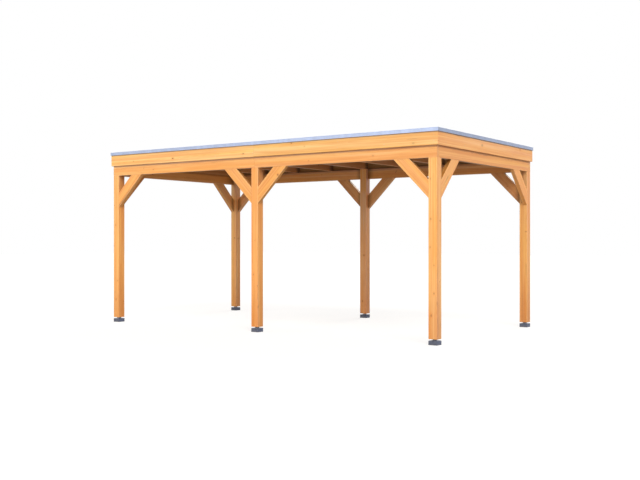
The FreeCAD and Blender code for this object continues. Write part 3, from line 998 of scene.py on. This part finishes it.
def roof_boards():
    """Tongued and grooved boards along the roof, butted over the rafters in turn."""
    low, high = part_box("roof_deck")
    width = (high[1] - low[1]) / BOARD_COUNT
    thickness = high[2] - low[2]
    shape = bmesh.new()
    for number in range(BOARD_COUNT):
        profile = board_profile(width, thickness, number < BOARD_COUNT - 1)
        section = [(low[1] + number * width + y, low[2] + z) for y, z in profile]
        joints = [RAFTER_FIRST + step * RAFTER_SPACING for step in BOARD_JOINTS[number % len(BOARD_JOINTS)]]
        ends = [low[0]] + joints + [high[0]]
        for start, end in zip(ends, ends[1:]):
            add_prism(shape, section, start + JOINT_GAP / 2, end - JOINT_GAP / 2)
    row = timber_row(0, 1, low[1] + width / 2, width, (low[2] + high[2]) / 2, PITHS["boards"])
    material = wood_shader("roof_boards", row, ALONG_X, DECK_TONE, KNOT_SHARES["boards"], shaded_vees)
    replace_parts(add_piece("roof_boards", shape, material), "roof_deck")


def spaced(low, high, step, extra):
    """Values from low to high about a step apart, with extra ones among them, in order."""
    count = round((high - low) / step)
    values = [low + (high - low) * number / count for number in range(count + 1)]
    kept = [value for value in values if all(abs(value - place) > step / 4 for place in extra)]
    return sorted(kept + list(extra))


def lap_rise(x):
    """Height of the doubled sheet at the laps, which run across the depth."""
    rise = 0.0
    for place in LAP_PLACES:
        inside = min(x - place + LAP_WIDTH, place - x + LAP_SLOPE)
        rise = max(rise, min(1.0, max(0.0, inside / LAP_SLOPE)))
    return rise * LAP_HEIGHT


def roofing_height(x, y, corner):
    """How far the sheet stands above its flat level, none near the edges that the trim covers."""
    inward = min(corner.x - abs(x), corner.y - abs(y)) - ROOFING_EDGE
    share = min(1.0, max(0.0, inward / ROOFING_FADE))
    ripple = sum(part * noise.noise(Vector((x * along, y * across, place)))
                 for along, across, place, part in RIPPLES)
    return share * (lap_rise(x) + RIPPLE_HEIGHT * (0.5 + 0.5 * ripple))


def grid_sheet(shape, columns, rows, level):
    """A grid of faces over the given columns and rows, with its heights from level(x, y)."""
    points = [[shape.verts.new((x, y, level(x, y))) for y in rows] for x in columns]
    for this, following in zip(points, points[1:]):
        for near, far in zip(range(len(rows) - 1), range(1, len(rows))):
            shape.faces.new((this[near], following[near], following[far], this[far]))
    return points


def rim_of(points):
    """The outer ring of a grid's points, in order."""
    near = [column[0] for column in points]
    far = [column[-1] for column in points]
    return near + points[-1][1:-1] + far[::-1] + points[0][-2:0:-1]


def roofing():
    """The roofing sheet with its laps and slight ripples, flat where the trim covers it."""
    low, high = box_of("roofing_sheet")
    edges = []
    for place in LAP_PLACES:
        for start in (place - LAP_WIDTH, place):
            edges += [start, start + LAP_SLOPE]
    columns = spaced(low.x, high.x, ROOFING_STEP, edges)
    rows = spaced(low.y, high.y, ROOFING_STEP, ())
    shape = bmesh.new()
    above = grid_sheet(shape, columns, rows, lambda x, y: high.z + roofing_height(x, y, high))
    below = grid_sheet(shape, columns, rows, lambda x, y: low.z)
    upper, lower = rim_of(above), rim_of(below)
    for this in range(len(upper)):
        shape.faces.new((upper[this - 1], upper[this], lower[this], lower[this - 1]))
    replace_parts(add_piece("roofing_membrane", shape, rubber_material()), "roofing_sheet")


def screw_head(shape, place, outward, radius):
    """A countersunk head with a lobed recess, let into the face behind it."""
    turn = outward.to_track_quat("Z", "Y")
    rings = []
    for reach, level, lobes in HEAD_RINGS:
        ring = []
        for step in range(HEAD_SIDES):
            angle = math.tau * step / HEAD_SIDES
            out = radius * reach * (1 + lobes * math.cos(RECESS_LOBES * angle))
            point = Vector((out * math.cos(angle), out * math.sin(angle), radius * level))
            ring.append(shape.verts.new(place + turn @ point))
        rings.append(ring)
    for inner, outer in zip(rings, rings[1:]):
        for this in range(HEAD_SIDES):
            shape.faces.new((inner[this - 1], inner[this], outer[this], outer[this - 1]))
    shape.faces.new(rings[0])
    shape.faces.new(rings[-1])


def centred(count, spacing):
    """Places in a row, evenly spaced about the middle."""
    return [(number - (count - 1) / 2) * spacing for number in range(count)]


def fascia_screws(material):
    """Pairs of screws into the rafter ends and along the outer rafters."""
    shape = bmesh.new()
    low, high = box_of("fascia_front_left", "fascia_back_right")
    lines = [RAFTER_FIRST + number * RAFTER_SPACING for number in range(RAFTER_COUNT)]
    lines = [x for x in lines if abs(x) > BUTT_OFFSET] + [-BUTT_OFFSET, BUTT_OFFSET]
    for level in FASCIA_SCREW_LEVELS:
        for side, corner in ((-1, low), (1, high)):
            for x in lines:
                screw_head(shape, Vector((x, corner.y, level)), side * ALONG_Y, FASCIA_SCREW_RADIUS)
            for y in centred(SIDE_SCREW_COUNT, SIDE_SCREW_SPACING):
                screw_head(shape, Vector((corner.x, y, level)), side * ALONG_X, FASCIA_SCREW_RADIUS)
    add_piece("fascia_screws", shape, material)


def brace_screws(material):
    """Screws through the lower faces of the braces into the posts and beams."""
    shape = bmesh.new()
    for name in NODES:
        if not name.startswith("brace_"):
            continue
        low, high = box_of(name)
        climb = brace_direction(name)
        level = Vector((climb.x, climb.y, 0)).normalized()
        half = (high.z - low.z) / 2
        foot = (low + high) / 2 - (level + UP) * half
        for share, aside in BRACE_SCREW_STEPS:
            place = foot + (level + UP) * (2 * half * share) + UP.cross(level) * aside
            screw_head(shape, place, (level - UP).normalized(), BRACE_SCREW_RADIUS)
    add_piece("brace_screws", shape, material)


def trim_screws(material):
    """Screws through the flange of the roof-edge trim."""
    shape = bmesh.new()
    high = box_of("edge_trim_front", "edge_trim_back")[1]
    line = (high.x - TRIM_SCREW_INSET, high.y - TRIM_SCREW_INSET)
    for axis, count in enumerate(TRIM_SCREW_COUNTS):
        for along in centred(count, TRIM_SCREW_SPACING):
            for side in (-1, 1):
                place = [side * line[0], side * line[1], FLANGE_TOP]
                place[axis] = along
                screw_head(shape, Vector(place), UP, TRIM_SCREW_RADIUS)
    add_piece("trim_screws", shape, material)


def floor_material():
    """Even white to the camera but for shadows, and grey in what it reflects."""
    material = bpy.data.materials.new("floor")
    material.use_nodes = True
    tree = material.node_tree
    tree.nodes.remove(tree.nodes["Principled BSDF"])
    nodes = Nodes(tree)
    seen = nodes.add("ShaderNodeLightPath").outputs["Is Camera Ray"]
    diffuse = nodes.add("ShaderNodeBsdfDiffuse")
    nodes.put(diffuse.inputs["Color"], nodes.mix(seen, FLOOR_COLOUR, SHADOW_SHARE))
    white = nodes.add("ShaderNodeEmission")
    nodes.put(white.inputs["Color"], WHITE)
    nodes.put(white.inputs["Strength"], nodes.times(seen, FLOOR_WHITE))
    both = nodes.add("ShaderNodeAddShader")
    nodes.feed(both, diffuse.outputs[0], white.outputs[0])
    nodes.put(tree.nodes["Material Output"].inputs["Surface"], both.outputs[0])
    return material


def floor():
    """A pale floor that keeps the object's shadow, softly."""
    mesh = bpy.data.meshes.new("floor")
    sheet = bmesh.new()
    bmesh.ops.create_grid(sheet, x_segments=1, y_segments=1, size=FLOOR_REACH)
    sheet.to_mesh(mesh)
    sheet.free()
    mesh.materials.append(floor_material())
    plane = bpy.data.objects.new("floor", mesh)
    bpy.context.scene.collection.objects.link(plane)


def world_light():
    """Soft sky light for the object, plain white for what the camera and reflections see."""
    world = bpy.data.worlds.new("studio")
    world.use_nodes = True
    bpy.context.scene.world = world
    nodes = Nodes(world.node_tree)
    sky = world.node_tree.nodes["Background"]
    nodes.put(sky.inputs["Color"], SKY_TINT)
    height = nodes.split(nodes.add("ShaderNodeTexCoord").outputs["Generated"])[2]
    lowness = nodes.math("POWER", nodes.math("SUBTRACT", 1.0, height, clamp=True), SKY_FADE)
    strength = nodes.line(lowness, HORIZON_LIGHT - ZENITH_LIGHT, ZENITH_LIGHT)
    nodes.put(sky.inputs["Strength"], strength)
    white = nodes.add("ShaderNodeBackground")
    nodes.put(white.inputs["Color"], WHITE)
    path = nodes.add("ShaderNodeLightPath").outputs
    seen = nodes.math("ADD", path["Is Camera Ray"], path["Is Glossy Ray"])
    seen = nodes.math("ADD", seen, path["Is Transmission Ray"], clamp=True)
    choice = nodes.add("ShaderNodeMixShader")
    nodes.feed(choice, seen, sky.outputs[0], white.outputs[0])
    nodes.put(world.node_tree.nodes["World Output"].inputs["Surface"], choice.outputs[0])


def soft_light(name, energy, turn, elevation, spread):
    """A distant soft light from one side, given in degrees."""
    data = bpy.data.lights.new(name, "SUN")
    data.energy = energy
    data.angle = math.radians(spread)
    data.color = LAMP_TINT
    lamp = bpy.data.objects.new(name, data)
    lamp.rotation_euler = (math.radians(90 - elevation), 0, math.radians(turn))
    bpy.context.scene.collection.objects.link(lamp)


def write_sizes():
    bpy.context.view_layer.update()


bpy.context.scene.view_settings.view_transform = "Standard"
main_camera()
floor()
world_light()
for lamp in LAMPS:
    soft_light(*lamp)
dress_timbers()
dress_metal()
roof_boards()
roofing()
bright = screw_material("stainless_screws", STAINLESS)
fascia_screws(bright)
trim_screws(bright)
brace_screws(screw_material("yellow_zinc_screws", YELLOW_ZINC))
write_sizes()
